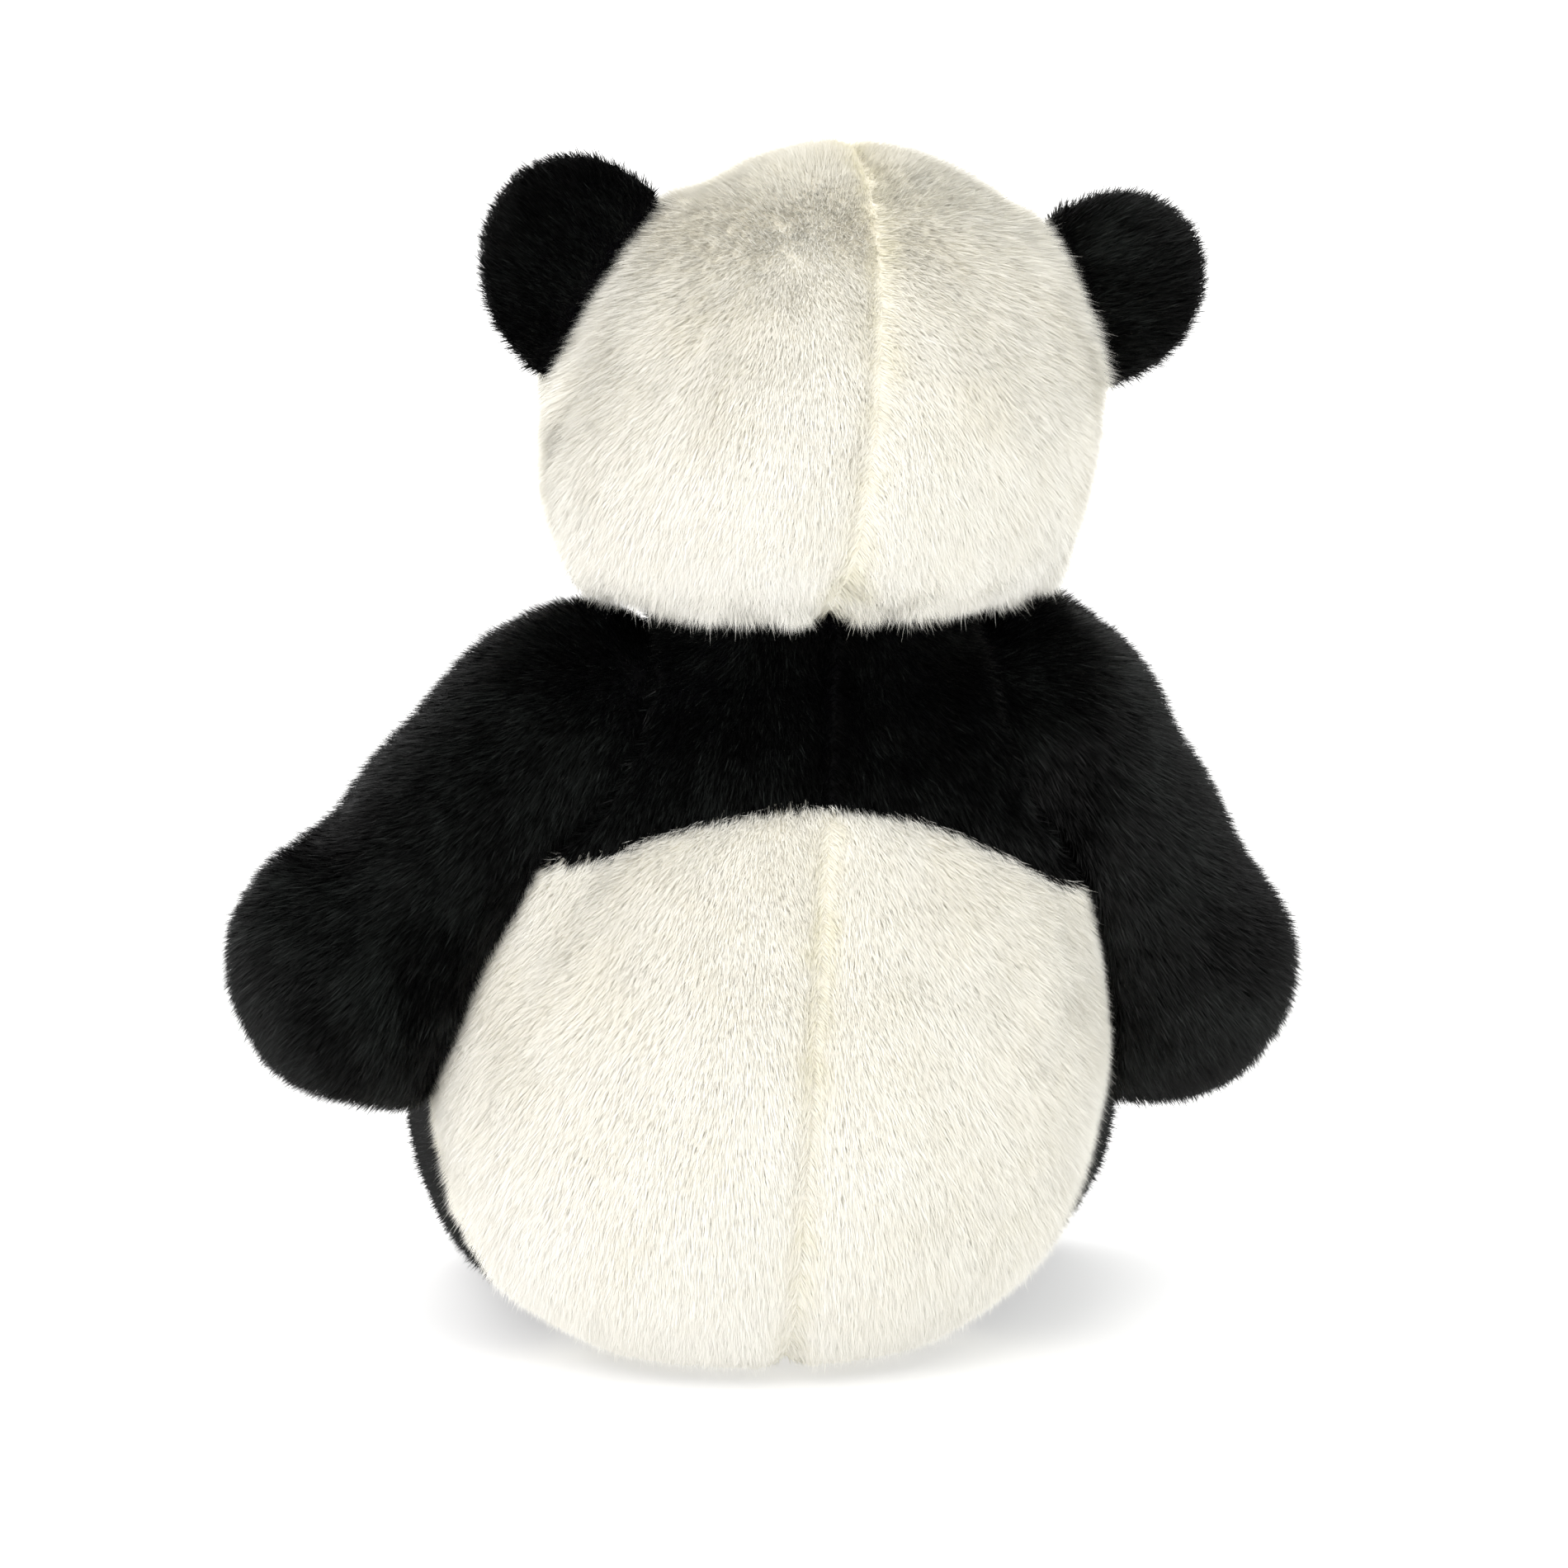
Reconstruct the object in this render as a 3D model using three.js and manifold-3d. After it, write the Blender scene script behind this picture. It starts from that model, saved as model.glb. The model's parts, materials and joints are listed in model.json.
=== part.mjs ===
// Seated plush panda: a stuffed torso with a head, two arms and two legs sewn on.
// Millimetres. +Z is up, the face looks along -Y and the seat rests on z = 0.
// Every outer surface is the tip of the pile, so a skin panel is pile and backing together.

import * as THREE from 'three';
import { mergeVertices } from 'three/addons/utils/BufferGeometryUtils.js';
import Module from 'manifold-3d';

const wasm = await Module();
wasm.setup();

// ---- sizes ----
const GAP = 0.3; // between neighbouring pieces
const SKIN = 5; // pile and backing
const MERGE = 0.05; // points closer than this to a flat face are left out
const SEAT_DISC = 4; // thickness of the oval under the seat
const LEAN = 18; // how far the head end bends to the toy's right
const LEAN_FROM = 50;
const LEAN_TO = 300;

// height, half width, depth to the back, depth to the front
const TORSO = [
  [0, 54, 42, 50],
  [6, 63, 50, 58],
  [14, 74, 60, 65],
  [26, 88, 72, 73],
  [52, 103, 83, 82],
  [80, 110, 88, 88],
  [107, 109, 88, 88],
  [140, 101, 84, 80],
  [175, 91, 76, 68],
  [205, 81, 66, 58],
  [228, 69, 56, 49],
  [242, 55, 46, 41],
  [252, 40, 36, 34],
];
const CHEST_SEAM = 192; // highest point of the seam between the black and the cream panels
const CHEST_SEAM_X = 6; // how far that point lies to the toy's left of the centre seam
const CHEST_SEAM_DROP = { left: 33, right: 37 }; // how much lower the seam is at the sides
const CHEST_SEAM_HALF = 92;
const SIDE_SEAM_Y = -6;
const SEAT_HALF_X = 46;
const SEAT_HALF_Y = 34;

// height above the neck seam, half width, depth to the back, depth to the front
const HEAD = [
  [0, 60, 46, 48],
  [3, 75, 58, 60],
  [9, 83, 70, 71],
  [20, 88.5, 78, 79],
  [40, 92, 85, 83],
  [62, 91, 87, 84],
  [84, 84.5, 82, 79],
  [106, 74, 73, 69],
  [126, 58, 57, 53],
  [138, 40, 39, 36],
  [145.5, 22, 21, 20],
  [148, 9, 9, 8],
];
const NECK_X = -11;
const HEAD_SKEW = 8; // how far the underside of the head lies to the toy's right
const HEAD_SKEW_TO = 38;
const NECK_Z = 247;
const HEAD_LEAN = 0.1; // how far the head slants to the toy's right, for each mm of height
const HEAD_YAW = 3.5;

const EAR_OUT = { left: 97.5, right: 100 }; // head centre to ear centre
const EAR_CENTRE_Z = 54; // height of the head centre above the neck seam
const EAR_RISE = { left: 32, right: 25 }; // degrees above level
const EAR_TILT = { left: -24, right: 24 };
const EAR_LONG = 33;
const EAR_WIDE = { left: 40, right: 34 };
const EAR_THICK = 11;
const EAR_Y = 4;
const EAR_BEND = 15;

const SHOULDER_X = 74.5;
const SHOULDER_Y = -4;
const SHOULDER_Z = 202;
const SHOULDER_R = 45;
const ARM_SPLAY = { left: 41.5, right: 29.5 };
const ARM_FORWARD = { left: 1, right: 12 };
// distance from the shoulder, half width, half thickness
const ARM = [
  [0, 45, 45],
  [30, 45.5, 44],
  [62, 47.5, 40.5],
  [80, 46.5, 38.5],
  [102, 49.5, 39],
  [119, 44, 36],
  [135, 30, 27],
  [143, 12, 11],
];

const HIP_X = 62;
const HIP_Y = -22;
const HIP_Z = 57;
const HIP_R = 42;
const LEG_SPLAY = { left: -1, right: 19 };
const HIP_SWING = { left: 20, right: -15 }; // outward is positive; the right leg already rests outward
// distance from the hip, half width, reach down, reach up
const LEG = [
  [0, 42, 42, 42],
  [30, 42, 50, 43],
  [70, 40, 54.5, 42],
  [105, 40, 56.3, 44],
  [128, 41, 56.6, 54],
  [146, 38, 53, 55],
  [156, 32, 46, 48],
];
const SOLE_HALF_X = 25;
const SOLE_HALF_Z = 35;
const SOLE_THICK = 2.5;

const MUZZLE = [33, 27, 25]; // half width, half depth, half height
const MUZZLE_Y = -80;
const MUZZLE_Z = 42;
const NOSE = [11, 6, 7.5];
const EYE_R = 6.5;
const EYE_X = 30;
const EYE_Z = 68;
const PATCH_HALF_X = 15;
const PATCH_HALF_Z = 21;
const PATCH_TILT = 28;
const PATCH_THICK = 2.5;
const WASHER_R = 9;
const WASHER_THICK = 2;
const SHANK_R = 2.2; // the stalk of an eye or nose that the washer grips

const CREAM = 0xeee9da;
const BLACK = 0x0b0b0c;
const FILL = 0xf4f3ef;
const GLOSS = 0x090909;
const WASHER_WHITE = 0xdedede;
const BROWN = 0x1c1513;

const SIDES = { left: 1, right: -1 };
const RAD = Math.PI / 180;

// ---- solids ----
function toSolid(geometry) {
  const bare = new THREE.BufferGeometry();
  bare.setAttribute('position', geometry.getAttribute('position').clone());
  if (geometry.index) {
    bare.setIndex(geometry.index.clone());
  }
  const merged = mergeVertices(bare, 1e-4);
  const mesh = new wasm.Mesh({
    numProp: 3,
    vertProperties: new Float32Array(merged.getAttribute('position').array),
    triVerts: new Uint32Array(merged.index.array),
  });
  return new wasm.Manifold(mesh);
}

function at(profile, t, column) {
  let i = 0;
  while (i < profile.length - 2 && t > profile[i + 1][0]) {
    i += 1;
  }
  const slope = (k) => {
    const a = Math.max(0, k - 1);
    const b = Math.min(profile.length - 1, k + 1);
    return (profile[b][column] - profile[a][column]) / (profile[b][0] - profile[a][0]);
  };
  const span = profile[i + 1][0] - profile[i][0];
  const s = Math.min(1, Math.max(0, (t - profile[i][0]) / span));
  const s2 = s * s;
  const s3 = s2 * s;
  return (
    profile[i][column] * (2 * s3 - 3 * s2 + 1) +
    profile[i + 1][column] * (3 * s2 - 2 * s3) +
    slope(i) * span * (s3 - 2 * s2 + s) +
    slope(i + 1) * span * (s3 - s2)
  );
}

function lean(z) {
  const s = Math.min(1, Math.max(0, (z - LEAN_FROM) / (LEAN_TO - LEAN_FROM)));
  return -LEAN * s * s * (3 - 2 * s);
}

// a closed form through level rings, each { z, x, wide, back, front }
function loft(rings, segments) {
  const points = [];
  const faces = [];
  rings.forEach((r) => {
    for (let j = 0; j < segments; j += 1) {
      const a = (2 * Math.PI * j) / segments;
      const c = Math.cos(a);
      const s = Math.sin(a);
      points.push(r.x + r.wide * c, s > 0 ? r.back * s : r.front * s, r.z);
    }
  });
  for (let i = 0; i < rings.length - 1; i += 1) {
    for (let j = 0; j < segments; j += 1) {
      const a = i * segments + j;
      const b = i * segments + ((j + 1) % segments);
      faces.push(a, b, b + segments, a, b + segments, a + segments);
    }
  }
  const low = points.length / 3;
  points.push(rings[0].x, 0, rings[0].z);
  const last = rings[rings.length - 1];
  points.push(last.x, 0, last.z);
  const top = (rings.length - 1) * segments;
  for (let j = 0; j < segments; j += 1) {
    const k = (j + 1) % segments;
    faces.push(low, k, j);
    faces.push(low + 1, top + j, top + k);
  }
  const g = new THREE.BufferGeometry();
  g.setAttribute('position', new THREE.Float32BufferAttribute(points, 3));
  g.setIndex(faces);
  return g;
}

function steps(from, to, count, ease) {
  const list = [];
  for (let i = 0; i <= count; i += 1) {
    const s = i / count;
    const e = (1 - ease) * s + ease * (0.5 - 0.5 * Math.cos(Math.PI * s));
    list.push(from + (to - from) * e);
  }
  return list;
}

function torsoForm(inset, count, segments) {
  const height = TORSO[TORSO.length - 1][0];
  const rings = steps(0, height, count, 0.5).map((z) => {
    const high = inset + (z * (height - 2 * inset)) / height;
    return {
      z: high,
      x: lean(high),
      wide: at(TORSO, z, 1) - inset,
      back: at(TORSO, z, 2) - inset,
      front: at(TORSO, z, 3) - inset,
    };
  });
  return toSolid(loft(rings, segments));
}

function headForm(inset, count, segments) {
  const height = HEAD[HEAD.length - 1][0];
  const rings = steps(0, height, count, 0.75).map((z) => ({
    z: inset + (z * (height - 2 * inset)) / height,
    x: -HEAD_SKEW * Math.max(0, 1 - z / HEAD_SKEW_TO) ** 2,
    wide: Math.max(2, at(HEAD, z, 1) - inset),
    back: Math.max(2, at(HEAD, z, 2) - inset),
    front: Math.max(2, at(HEAD, z, 3) - inset),
  }));
  return toSolid(loft(rings, segments));
}

// a limb along -z from a ball at the origin; the ball end is part of the loft
function limbForm(profile, radius, inset, count, segments) {
  const two = profile[0].length === 3;
  const end = profile[profile.length - 1][0];
  const rings = [];
  steps(0, 1, count, 0.6).forEach((s) => {
    const t = end * (1 - s);
    rings.push({
      z: -Math.max(0, t - inset * (t / end)),
      x: 0,
      wide: at(profile, t, 1) - inset,
      back: at(profile, t, 2) - inset,
      front: at(profile, t, two ? 2 : 3) - inset,
    });
  });
  const ball = radius - inset;
  for (let i = 1; i <= 4; i += 1) {
    const a = (i / 5) * (Math.PI / 2);
    const r = ball * Math.cos(a);
    rings.push({ z: ball * Math.sin(a), x: 0, wide: r, back: r, front: r });
  }
  rings.push({ z: ball, x: 0, wide: 0.06 * ball, back: 0.06 * ball, front: 0.06 * ball });
  return toSolid(loft(rings, segments));
}

function ball(radii, centre, matrix, across, down) {
  const g = new THREE.SphereGeometry(1, across, down);
  g.scale(radii[0], radii[1], radii[2]);
  if (matrix) {
    g.applyMatrix4(matrix);
  }
  g.translate(centre[0], centre[1], centre[2]);
  return toSolid(g);
}

function block(low, high) {
  const g = new THREE.BoxGeometry(high[0] - low[0], high[1] - low[1], high[2] - low[2]);
  g.translate((low[0] + high[0]) / 2, (low[1] + high[1]) / 2, (low[2] + high[2]) / 2);
  return toSolid(g);
}

function move(solid, matrix) {
  return solid.transform(Array.from(matrix.elements));
}

function turn(axis, degrees, centre) {
  const c = new THREE.Vector3(centre[0], centre[1], centre[2]);
  const m = new THREE.Matrix4().makeTranslation(c.x, c.y, c.z);
  m.multiply(new THREE.Matrix4().makeRotationAxis(axis, degrees * RAD));
  m.multiply(new THREE.Matrix4().makeTranslation(-c.x, -c.y, -c.z));
  return m;
}

// everything on one side of the centre seam, which follows the lean
function halfSpace(side, margin) {
  const far = side * 300;
  const levels = steps(-20, 450, 24, 0);
  const points = [];
  const faces = [];
  levels.forEach((z) => {
    const near = lean(z) + side * margin;
    [[near, -300], [far, -300], [far, 300], [near, 300]].forEach(([x, y]) => points.push(x, y, z));
  });
  const quad = (a, b, c, d) => {
    if (side > 0) {
      faces.push(a, b, c, a, c, d);
    } else {
      faces.push(a, c, b, a, d, c);
    }
  };
  for (let i = 0; i < levels.length - 1; i += 1) {
    for (let j = 0; j < 4; j += 1) {
      const a = 4 * i + j;
      const b = 4 * i + ((j + 1) % 4);
      quad(a, b, b + 4, a + 4);
    }
  }
  quad(3, 2, 1, 0);
  const t = 4 * (levels.length - 1);
  quad(t, t + 1, t + 2, t + 3);
  const g = new THREE.BufferGeometry();
  g.setAttribute('position', new THREE.Float32BufferAttribute(points, 3));
  g.setIndex(faces);
  return toSolid(g);
}

// everything above the arched chest seam
function aboveSeam(margin) {
  const shape = new THREE.Shape();
  shape.moveTo(-300, 320);
  steps(-140, 110, 12, 0).forEach((x, i) => {
    const out = (x - lean(CHEST_SEAM) - CHEST_SEAM_X) / CHEST_SEAM_HALF;
    const s = Math.min(1, Math.abs(out));
    const drop = out > 0 ? CHEST_SEAM_DROP.left : CHEST_SEAM_DROP.right;
    const z = CHEST_SEAM + margin - drop * s * s;
    if (i === 0) {
      shape.lineTo(-300, z);
    }
    shape.lineTo(x, z);
    if (i === 12) {
      shape.lineTo(300, z);
    }
  });
  shape.lineTo(300, 320);
  const g = new THREE.ExtrudeGeometry(shape, { depth: 600, bevelEnabled: false });
  g.rotateX(Math.PI / 2);
  g.translate(0, 300, 0);
  return toSolid(g);
}

function ovalRod(halfX, halfY, low, high, segments) {
  const g = new THREE.CylinderGeometry(1, 1, high - low, segments);
  g.rotateX(Math.PI / 2);
  g.scale(halfX, halfY, 1);
  g.translate(0, 0, (low + high) / 2);
  return toSolid(g);
}

const FRONT = block([-400, -400, -50], [400, SIDE_SEAM_Y - GAP / 2, 500]);
const BACK = block([-400, SIDE_SEAM_Y + GAP / 2, -50], [400, 400, 500]);

// ---- placing ----
const X = new THREE.Vector3(1, 0, 0);
const Y = new THREE.Vector3(0, 1, 0);
const Z = new THREE.Vector3(0, 0, 1);

function shoulder(name) {
  return [SIDES[name] * SHOULDER_X + lean(SHOULDER_Z), SHOULDER_Y, SHOULDER_Z];
}

function hip(name) {
  return [SIDES[name] * HIP_X, HIP_Y, HIP_Z];
}

function armPlace(name) {
  const m = new THREE.Matrix4().makeTranslation(...shoulder(name));
  m.multiply(new THREE.Matrix4().makeRotationY(-SIDES[name] * ARM_SPLAY[name] * RAD));
  m.multiply(new THREE.Matrix4().makeRotationX(-ARM_FORWARD[name] * RAD));
  return m;
}

// a leg is lofted down -z, then laid forward along -y and splayed
function legPlace(name) {
  const m = new THREE.Matrix4().makeTranslation(...hip(name));
  m.multiply(new THREE.Matrix4().makeRotationZ(SIDES[name] * LEG_SPLAY[name] * RAD));
  m.multiply(new THREE.Matrix4().makeRotationX(-Math.PI / 2));
  return m;
}

const neck = [NECK_X, 0, NECK_Z];
const headPlace = new THREE.Matrix4().makeTranslation(...neck);
headPlace.multiply(new THREE.Matrix4().makeShear(0, 0, 0, 0, -HEAD_LEAN, 0));
headPlace.multiply(new THREE.Matrix4().makeRotationZ(HEAD_YAW * RAD));

// ---- torso ----
const SOCKET = 0.4;
const SOCKET_EASE = 1.8; // room for a faceted ball to turn
const torsoOuter = torsoForm(0, 12, 24);
const torsoInner = torsoForm(SKIN, 8, 16);
const torsoFill = torsoForm(SKIN + GAP + 0.4, 8, 16);
const socketBalls = [];
Object.keys(SIDES).forEach((name) => {
  const s = SHOULDER_R + SOCKET_EASE;
  const h = HIP_R + SOCKET_EASE;
  socketBalls.push(ball([s, s, s], shoulder(name), null, 18, 10));
  socketBalls.push(ball([h, h, h], hip(name), null, 16, 8));
});
const sockets = socketBalls.reduce((a, b) => a.add(b));
const headRoom = move(headForm(-SOCKET, 10, 24), headPlace);
const torsoSkin = torsoOuter.subtract(torsoInner).subtract(sockets).subtract(headRoom);
const high = aboveSeam(GAP / 2);
const low = aboveSeam(-GAP / 2);
const seatHole = ovalRod(SEAT_HALF_X + GAP, SEAT_HALF_Y + GAP, -10, 20, 24);

const parts = [];
function piece(name, solid, color, roughness) {
  const mesh = solid.simplify(MERGE).getMesh();
  const g = new THREE.BufferGeometry();
  g.setAttribute('position', new THREE.BufferAttribute(new Float32Array(mesh.vertProperties), 3));
  g.setIndex(new THREE.BufferAttribute(new Uint32Array(mesh.triVerts), 1));
  g.computeVertexNormals();
  const m = new THREE.Mesh(g, new THREE.MeshStandardMaterial({ color, roughness, metalness: 0 }));
  m.name = name;
  parts.push(m);
}

// keep only the largest lump of a cut solid
function largest(solid) {
  const lumps = solid.decompose();
  let best = lumps[0];
  lumps.forEach((l) => {
    if (l.volume() > best.volume()) {
      best = l;
    }
  });
  return best;
}

Object.keys(SIDES).forEach((name) => {
  const half = halfSpace(SIDES[name], GAP / 2);
  const upper = torsoSkin.intersect(half).intersect(high);
  const lower = torsoSkin.intersect(half).subtract(low).subtract(seatHole);
  piece(`yoke_back_${name}`, largest(upper.intersect(BACK)), BLACK, 0.95);
  piece(`chest_${name}`, largest(upper.intersect(FRONT)), BLACK, 0.95);
  piece(`body_back_${name}`, largest(lower.intersect(BACK)), CREAM, 0.95);
  piece(`belly_${name}`, largest(lower.intersect(FRONT)), CREAM, 0.95);
});
piece('seat_disc', ovalRod(SEAT_HALF_X, SEAT_HALF_Y, 0, SEAT_DISC, 24), CREAM, 0.95);
piece('torso_stuffing', largest(torsoFill.subtract(sockets).subtract(headRoom)), FILL, 1);

// a limb's skin starts at the seam on the torso; its stuffing carries on as a ball inside
const clearOfTorso = torsoForm(-2 * SOCKET, 12, 24);
const insideTorso = torsoForm(-SOCKET / 2, 12, 24);

function limb(profile, radius, place, pivot, swing) {
  const ballIn = ball([radius, radius, radius], pivot, null, 16, 8);
  const r = radius - SKIN - GAP;
  const throat = ball([r, r, r], pivot, null, 12, 7);
  let keepOut = clearOfTorso;
  if (swing) {
    keepOut = keepOut.add(move(clearOfTorso, swing));
  }
  const outer = move(limbForm(profile, radius, 0, 8, 16), place).subtract(keepOut);
  const inner = move(limbForm(profile, radius, SKIN, 6, 12), place);
  const fill = move(limbForm(profile, radius, SKIN + GAP, 6, 12), place);
  return {
    outer,
    skin: outer.subtract(inner),
    stuffing: fill.subtract(keepOut.subtract(throat)).add(ballIn.intersect(insideTorso)),
  };
}

// ---- arms ----
Object.keys(SIDES).forEach((name) => {
  const place = armPlace(name);
  const arm = limb(ARM, SHOULDER_R, place, shoulder(name), null);
  const backHalf = move(block([-200, GAP / 2, -200], [200, 200, 200]), place);
  const frontHalf = move(block([-200, -200, -200], [200, -GAP / 2, 200]), place);
  piece(`arm_${name}_back`, largest(arm.skin.intersect(backHalf)), BLACK, 0.95);
  piece(`arm_${name}_front`, largest(arm.skin.intersect(frontHalf)), BLACK, 0.95);
  piece(`arm_${name}_stuffing`, arm.stuffing, FILL, 1);
});

// ---- legs ----
Object.keys(SIDES).forEach((name) => {
  const side = SIDES[name];
  const place = legPlace(name);
  const leg = limb(LEG, HIP_R, place, hip(name), turn(Z, -side * HIP_SWING[name], hip(name)));
  const end = LEG[LEG.length - 1][0];
  const rod = (grow) => {
    const r = ovalRod(SOLE_HALF_X + grow, SOLE_HALF_Z + grow, -end - 1, -end + SOLE_THICK + grow, 20);
    const lift = new THREE.Matrix4().makeTranslation(0, -5, 0);
    return move(r, new THREE.Matrix4().multiplyMatrices(place, lift));
  };
  const skin = leg.skin.subtract(rod(GAP));
  const right = move(block([GAP / 2, -200, -250], [200, 200, 200]), place);
  const left = move(block([-200, -200, -250], [-GAP / 2, 200, 200]), place);
  piece(`leg_${name}_outer`, largest(skin.intersect(side > 0 ? right : left)), BLACK, 0.95);
  piece(`leg_${name}_inner`, largest(skin.intersect(side > 0 ? left : right)), BLACK, 0.95);
  piece(`sole_${name}`, largest(leg.outer.intersect(rod(0))), CREAM, 0.95);
  piece(`leg_${name}_stuffing`, leg.stuffing, FILL, 1);
});

// ---- head ----
const headOuter = headForm(0, 10, 24);
const headInner = headForm(SKIN, 8, 16);
const headFill = headForm(SKIN + GAP, 8, 16);
const headPlus = headForm(-GAP, 10, 24);

function headPiece(name, solid, color, roughness) {
  piece(name, move(solid, headPlace), color, roughness);
}

const headFront = block([-200, -200, -50], [200, SIDE_SEAM_Y - GAP / 2, 300]);
const headBack = block([-200, SIDE_SEAM_Y + GAP / 2, -50], [200, 200, 300]);
const muzzle = ball(MUZZLE, [0, MUZZLE_Y, MUZZLE_Z], null, 16, 10);
const noseAt = [0, MUZZLE_Y - MUZZLE[1] + 2, MUZZLE_Z + 9];

// a rod along y
function rodY(radius, x, z, from, to, segments) {
  const g = new THREE.CylinderGeometry(radius, radius, to - from, segments);
  g.translate(x, (from + to) / 2, z);
  return toSolid(g);
}

function faceY(x, z, inset) {
  const across = x / (at(HEAD, z, 1) - inset);
  return -(at(HEAD, z, 3) - inset) * Math.sqrt(1 - across * across);
}

// where a washer's front lies: deep enough for its whole rim to clear the skin
function washerY(x, z) {
  const above = faceY(Math.abs(x) + WASHER_R, z + WASHER_R, SKIN + 2.5);
  const below = faceY(Math.abs(x) + WASHER_R, z - WASHER_R, SKIN + 2.5);
  return Math.max(above, below);
}

const eyeShanks = Object.values(SIDES).map((side) => {
  const x = side * EYE_X;
  return rodY(SHANK_R + GAP, x, EYE_Z, -150, washerY(x, EYE_Z) + WASHER_THICK, 12);
});
const noseBack = washerY(0, noseAt[2]) + WASHER_THICK;
const noseHole = rodY(SHANK_R + GAP, 0, noseAt[2], -150, noseBack, 12);
const shankHoles = eyeShanks[0].add(eyeShanks[1]).add(noseHole);
const headSkin = headOuter.subtract(headInner).subtract(shankHoles);

const pockets = [];
Object.keys(SIDES).forEach((name) => {
  const side = SIDES[name];
  const halfHead = block([side > 0 ? GAP / 2 : -200, -200, -50], [side > 0 ? 200 : -GAP / 2, 200, 300]);
  headPiece(`head_back_${name}`, largest(headSkin.intersect(headBack).intersect(halfHead)), CREAM, 0.95);
  headPiece(`face_${name}`, largest(headSkin.intersect(headFront).intersect(halfHead)), CREAM, 0.95);

  const tilt = new THREE.Matrix4().makeRotationY(side * PATCH_TILT * RAD);
  const patchRod = (grow) => {
    const g = new THREE.CylinderGeometry(1, 1, 60, 24);
    g.scale(PATCH_HALF_X + grow, 1, PATCH_HALF_Z + grow);
    g.applyMatrix4(tilt);
    g.translate(side * EYE_X, -75, EYE_Z - 3);
    return toSolid(g);
  };
  const outside = block([-200, -200, -50], [200, -40, 300]);
  const patch = headForm(-PATCH_THICK - GAP, 10, 24).subtract(headPlus).intersect(outside);
  const eyeX = side * EYE_X;
  const eyeAt = [eyeX, faceY(eyeX, EYE_Z, 0) - PATCH_THICK, EYE_Z];
  const back = washerY(eyeX, EYE_Z);
  const dome = (grow) => ball(
    [EYE_R + grow, EYE_R * 0.8 + grow, EYE_R + grow], eyeAt, null, 14, 8);
  const muzzleRoom = ball(MUZZLE.map((v) => v + GAP), [0, MUZZLE_Y, MUZZLE_Z], null, 16, 10);
  const bare = patch.intersect(patchRod(0)).subtract(dome(GAP)).subtract(muzzleRoom);
  headPiece(`eye_patch_${name}`, largest(bare), BLACK, 0.95);
  const shank = rodY(SHANK_R, eyeX, EYE_Z, eyeAt[1], back + WASHER_THICK, 12);
  headPiece(`eye_${name}`, largest(dome(0).subtract(headPlus).add(shank)), GLOSS, 0.12);
  const disc = rodY(WASHER_R, eyeX, EYE_Z, back, back + WASHER_THICK, 20);
  headPiece(`eye_washer_${name}`, disc.subtract(eyeShanks[side > 0 ? 0 : 1]
    .add(rodY(SHANK_R + GAP, eyeX, EYE_Z, back, back + 9, 12))), WASHER_WHITE, 0.5);
  pockets.push(rodY(WASHER_R + GAP, eyeX, EYE_Z, -150, back + WASHER_THICK + GAP, 20));
});

const noseSolid = ball(NOSE, noseAt, null, 14, 8);
const noseRoom = ball(NOSE.map((v) => v + GAP), noseAt, null, 14, 8);
headPiece('muzzle', largest(muzzle.subtract(headPlus).subtract(noseRoom).subtract(noseHole)), CREAM, 0.95);
headPiece('nose', noseSolid.add(rodY(SHANK_R, 0, noseAt[2], noseAt[1], noseBack, 12)), GLOSS, 0.2);

// the mouth is one line of thread below the nose that forks into two short arcs
function thread(points) {
  const curve = new THREE.CatmullRomCurve3(points);
  const g = new THREE.TubeGeometry(curve, 8, 0.9, 6, false);
  const caps = [points[0], points[points.length - 1]];
  let s = null;
  const position = g.getAttribute('position').array;
  const ringSize = 7;
  const rings = 9;
  const verts = Array.from(position);
  const faces = Array.from(g.index.array);
  const start = verts.length / 3;
  caps.forEach((c) => verts.push(c.x, c.y, c.z));
  for (let j = 0; j < 6; j += 1) {
    faces.push(start, j, j + 1);
    const k = (rings - 1) * ringSize;
    faces.push(start + 1, k + j + 1, k + j);
  }
  const closed = new THREE.BufferGeometry();
  closed.setAttribute('position', new THREE.Float32BufferAttribute(verts, 3));
  closed.setIndex(faces);
  s = toSolid(closed);
  return s;
}

function onMuzzle(x, z) {
  const u = x / MUZZLE[0];
  const w = (z - MUZZLE_Z) / MUZZLE[2];
  return new THREE.Vector3(x, MUZZLE_Y - MUZZLE[1] * Math.sqrt(Math.max(0, 1 - u * u - w * w)) - 0.9, z);
}

const stem = thread([0, 4, 8, 12].map((d) => onMuzzle(0, MUZZLE_Z + 0.5 - d)));
const arcs = [1, -1].map((side) => thread(
  [0, 4, 8, 12].map((d) => onMuzzle(side * d, MUZZLE_Z - 11 - 3.2 * Math.sin((Math.PI * d) / 12))),
));
const muzzleSkin = ball(MUZZLE.map((v) => v + GAP / 2), [0, MUZZLE_Y, MUZZLE_Z], null, 16, 10);
headPiece('mouth_stitch', largest(stem.add(arcs[0]).add(arcs[1]).subtract(muzzleSkin).subtract(noseRoom)),
  BROWN, 0.7);

const noseDisc = rodY(WASHER_R, 0, noseAt[2], noseBack - WASHER_THICK, noseBack, 20);
const noseBore = rodY(SHANK_R + GAP, 0, noseAt[2], noseBack - 9, noseBack + 9, 12);
headPiece('nose_washer', noseDisc.subtract(noseBore), WASHER_WHITE, 0.5);
pockets.push(rodY(WASHER_R + GAP, 0, noseAt[2], -150, noseBack + GAP, 20));
headPiece('head_stuffing', pockets.reduce((a, w) => a.subtract(w), headFill), FILL, 1);

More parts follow.
